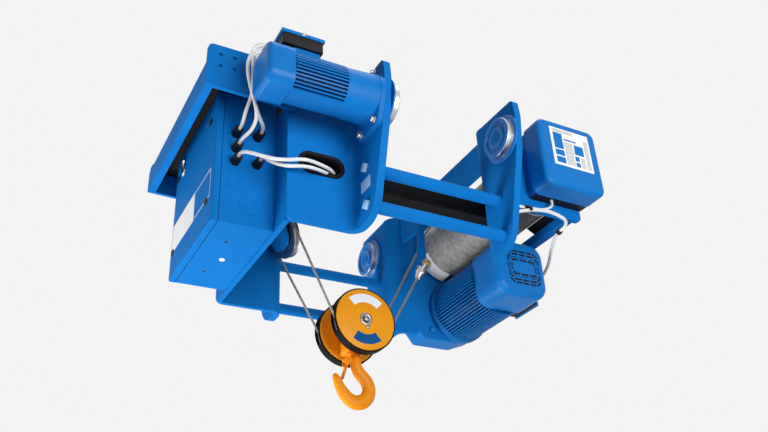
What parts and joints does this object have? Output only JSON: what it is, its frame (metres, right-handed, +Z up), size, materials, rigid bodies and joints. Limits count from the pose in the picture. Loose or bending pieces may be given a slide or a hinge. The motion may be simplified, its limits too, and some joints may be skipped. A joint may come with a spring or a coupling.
{
  "type": "wire rope hoist",
  "caption": "Low-headroom wire rope hoist on a flanged-wheel monorail trolley, with rope drum, geared motor, travel drive, control cabinet, reeved sheave block and swivel hook.",
  "frame": {"origin": "midway between the four trolley wheels, at the level of the beam flange they run on", "axes": "X across the beam, cabinet at -X and drum at +X; Y along the beam, the hoist gearbox at +Y; Z up"},
  "size_m": [1.3276, 1.012, 0.8357],
  "materials": {
    "blue_paint": "satin paint",
    "blue_plastic": "satin blue moulding",
    "steel": "turned steel",
    "rope": "stranded wire",
    "black_plastic": "matte black",
    "black_paint": "matte black paint",
    "rubber": "matte",
    "cable_sheath": "off-white sheath",
    "white_plastic": "satin white",
    "yellow_paint": "gloss yellow paint",
    "orange_paint": "satin orange paint",
    "brass": "turned brass",
    "zinc": "zinc plated"
  },
  "bodies": {
    "trolley_frame": {"left_near_bracket": "blue_paint", "left_far_bracket": "blue_paint", "right_near_bracket": "blue_paint", "right_far_bracket": "blue_paint", "left_back_plate": "blue_paint", "right_side_plate": "blue_paint", "cross_bars": "blue_paint", "wheel_axles": "blue_paint", "cable_duct": "black_paint", "cable_grommet": "rubber", "travel_gearbox": "blue_paint", "travel_motor": "blue_paint", "travel_fan_cover": "blue_plastic", "travel_terminal_box": "black_plastic", "travel_terminal_lid": "blue_paint", "cabinet_body": "blue_paint", "cabinet_cover": "blue_paint", "cable_glands": "black_plastic", "buffer_bracket": "blue_paint", "hoist_gearbox": "blue_paint", "hoist_motor": "blue_paint", "hoist_fan_cover": "blue_plastic", "hoist_terminal_box": "black_plastic", "hoist_terminal_lid": "blue_paint", "drum_bearing": "steel", "limit_switch_base": "blue_plastic", "limit_switch_cover": "blue_plastic", "drum_tie_bar": "blue_paint", "anchor_lug": "blue_paint", "anchor_pin": "brass", "rope_socket": "zinc", "return_sheave_bracket": "blue_paint", "return_sheave_axle": "steel", "return_rope": "rope", "upper_cables": "cable_sheath", "duct_cables": "cable_sheath", "limit_cable": "cable_sheath", "motor_cable": "cable_sheath", "fall_drum": "rope", "fall_anchor": "rope", "fall_return_front": "rope", "fall_return_rear": "rope"},
    "drum": {"drum_shell": "steel", "rope_winding": "rope"},
    "guide": {"rope_guide": "white_plastic"},
    "near_left_wheel": {"wheel_left_near": "steel"},
    "far_left_wheel": {"wheel_left_far": "steel"},
    "near_right_wheel": {"wheel_right_near": "steel"},
    "far_right_wheel": {"wheel_right_far": "steel"},
    "upper_sheave": {"return_sheave": "steel"},
    "hook_block": {"block_covers": "yellow_paint", "block_guards": "black_paint", "block_crosshead": "orange_paint", "block_axle": "steel", "block_rope": "rope"},
    "front_sheave": {"block_sheave_front": "steel"},
    "rear_sheave": {"block_sheave_rear": "steel"},
    "load_hook": {"hook": "orange_paint", "hook_nut": "steel"},
    "latch": {"hook_latch": "orange_paint"}
  },
  "joints": [
    {"name": "near_left_roll", "type": "hinge", "parent": "trolley_frame", "child": "near_left_wheel", "pos_m": [-0.1935, -0.43, 0.0625], "axis": [1, 0, 0], "continuous": true},
    {"name": "far_left_roll", "type": "hinge", "parent": "trolley_frame", "child": "far_left_wheel", "pos_m": [-0.1935, 0.43, 0.0625], "axis": [1, 0, 0], "continuous": true},
    {"name": "near_right_roll", "type": "hinge", "parent": "trolley_frame", "child": "near_right_wheel", "pos_m": [0.1935, -0.43, 0.0625], "axis": [1, 0, 0], "continuous": true},
    {"name": "far_right_roll", "type": "hinge", "parent": "trolley_frame", "child": "far_right_wheel", "pos_m": [0.1935, 0.43, 0.0625], "axis": [1, 0, 0], "continuous": true},
    {"name": "drum_turn", "type": "hinge", "parent": "trolley_frame", "child": "drum", "pos_m": [0.436, 0, 0.06], "axis": [0, 1, 0], "range_deg": [-13222, 66]},
    {"name": "hook_travel", "type": "slide", "parent": "trolley_frame", "child": "hook_block", "axis": [0, 0, 1], "range_m": [-6.002, 0.0319], "deforming": ["fall_drum", "fall_anchor", "fall_return_front", "fall_return_rear"]},
    {"name": "guide_travel", "type": "slide", "parent": "trolley_frame", "child": "guide", "axis": [0, 1, 0], "range_m": [-0.3326, 0.0027]},
    {"name": "upper_sheave_turn", "type": "hinge", "parent": "trolley_frame", "child": "upper_sheave", "pos_m": [-0.257, 0.182, -0.0375], "axis": [0.8893, 0, 0.4573], "range_deg": [-41.4, 8089.8]},
    {"name": "front_sheave_turn", "type": "hinge", "parent": "hook_block", "child": "front_sheave", "pos_m": [0, 0.121, -0.3405], "axis": [0, 1, 0], "range_deg": [-3820.7, 20.1]},
    {"name": "rear_sheave_turn", "type": "hinge", "parent": "hook_block", "child": "rear_sheave", "pos_m": [0, 0.243, -0.3405], "axis": [0, 1, 0], "range_deg": [-58.2, 11460.1]},
    {"name": "hook_swivel", "type": "hinge", "parent": "hook_block", "child": "load_hook", "pos_m": [0, 0.182, -0.4], "axis": [0, 0, 1], "continuous": true},
    {"name": "latch_pivot", "type": "hinge", "parent": "load_hook", "child": "latch", "pos_m": [-0.034, 0.182, -0.4525], "axis": [0, 1, 0], "range_deg": [-30, 0], "stiffness_Nm_per_rad": 0.1, "springref_deg": 17.19}
  ],
  "couplings": [
    {"joint": "hook_travel", "follows": "drum_turn", "m_per_rad": 0.026},
    {"joint": "guide_travel", "follows": "drum_turn", "m_per_rad": 0.0014324},
    {"joint": "upper_sheave_turn", "follows": "drum_turn", "ratio": -0.61177},
    {"joint": "front_sheave_turn", "follows": "drum_turn", "ratio": 0.28889},
    {"joint": "rear_sheave_turn", "follows": "drum_turn", "ratio": -0.86667}
  ]
}
